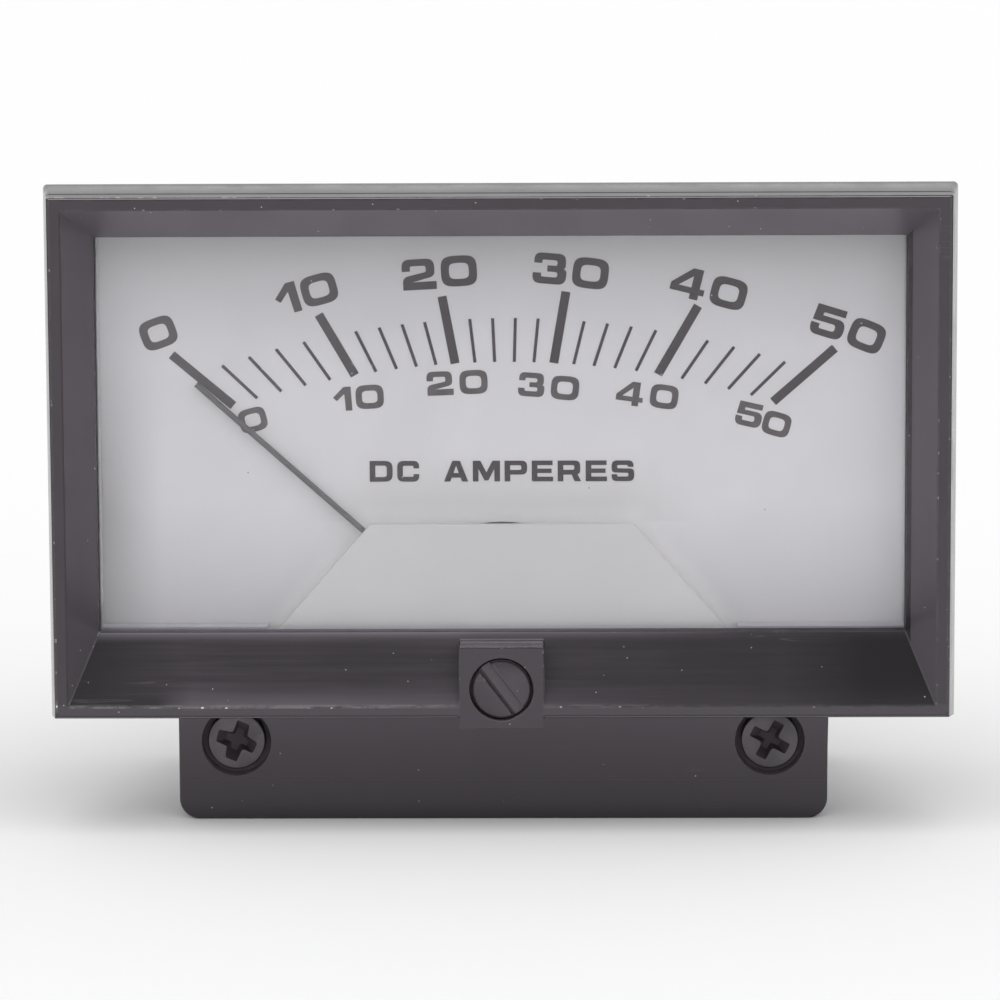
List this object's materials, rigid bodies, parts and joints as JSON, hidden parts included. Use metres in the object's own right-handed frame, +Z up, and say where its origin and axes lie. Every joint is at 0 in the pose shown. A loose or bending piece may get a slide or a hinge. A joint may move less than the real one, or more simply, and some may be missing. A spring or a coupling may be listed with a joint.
{
  "type": "panel ammeter",
  "caption": "Rectangular panel ammeter with a sloped dark frame, clear window, white dial, moving-coil movement, slotted zero adjuster, lower screw tab and rear stud terminals.",
  "frame": {"origin": "middle of the bounding box in plan, at the base that the case stands on", "axes": "+X to the right and +Z up as seen from the front, +Y back through the case towards the terminals; the dial faces -Y"},
  "size_m": [0.0648, 0.04, 0.0463],
  "materials": {
    "frame_plastic": "satin",
    "clear_window": "gloss",
    "cover_plastic": "satin",
    "case_plastic": "satin",
    "dark_steel": "satin",
    "adjuster_plastic": "satin",
    "dial_paint": "matte",
    "ink": "matte",
    "mask_plastic": "matte",
    "bright_steel": "satin",
    "frame_moulding": "matte",
    "soft_iron": "satin",
    "magnet": "satin",
    "spacer_metal": "satin",
    "brass": "satin",
    "ruby": "gloss",
    "spring_bronze": "satin",
    "former_alloy": "satin",
    "copper_wire": "gloss",
    "pointer_alloy": "matte",
    "terminal_brass": "satin"
  },
  "bodies": {
    "case": {"bezel": "frame_plastic", "window": "clear_window", "front_cover": "cover_plastic", "rear_case": "case_plastic", "case_screws": "dark_steel", "dial_plate": "dial_paint", "scale_marks": "ink", "movement_mask": "mask_plastic", "dial_screws": "bright_steel", "movement_frame": "frame_moulding", "frame_screws": "bright_steel", "yoke_ring": "soft_iron", "core_magnet": "magnet", "core_spacers": "spacer_metal", "front_bridge": "brass", "rear_bridge": "brass", "bridge_screws": "bright_steel", "front_jewel_screw": "brass", "rear_jewel_screw": "brass", "front_jewel": "ruby", "rear_jewel": "ruby", "front_locknut": "brass", "rear_locknut": "brass", "rear_anchor": "spring_bronze", "rear_hairspring": "spring_bronze", "terminal_studs": "terminal_brass", "terminal_washers": "terminal_brass", "terminal_nuts": "terminal_brass", "mounting_studs": "bright_steel", "front_lead": "brass", "rear_lead": "brass"},
    "zero_adjuster": {"zero_adjust_screw": "adjuster_plastic"},
    "zero_arm": {"zero_lever": "spring_bronze", "front_hairspring": "spring_bronze"},
    "moving_coil": {"coil_former": "former_alloy", "coil_winding": "copper_wire", "front_pivot": "bright_steel", "rear_pivot": "bright_steel", "pointer": "pointer_alloy", "balance_weights": "brass"}
  },
  "joints": [
    {"name": "zero_arm_turn", "type": "hinge", "parent": "case", "child": "zero_arm", "pos_m": [0, -0.01093, 0.01215], "axis": [0, 1, 0], "range_deg": [-7, 7]},
    {"name": "zero_adjuster_turn", "type": "hinge", "parent": "case", "child": "zero_adjuster", "pos_m": [0, -0.018, 0.01057], "axis": [0, 1, 0], "range_deg": [-17, 17]},
    {"name": "pointer_swing", "type": "hinge", "parent": "zero_arm", "child": "moving_coil", "pos_m": [0, -0.002, 0.01215], "axis": [0, 1, 0], "range_deg": [-2, 98], "stiffness_Nm_per_rad": 0.00001, "deforming": ["front_hairspring", "rear_hairspring"]}
  ],
  "couplings": [
    {"joint": "zero_adjuster_turn", "follows": "zero_arm_turn", "ratio": 2.374}
  ]
}
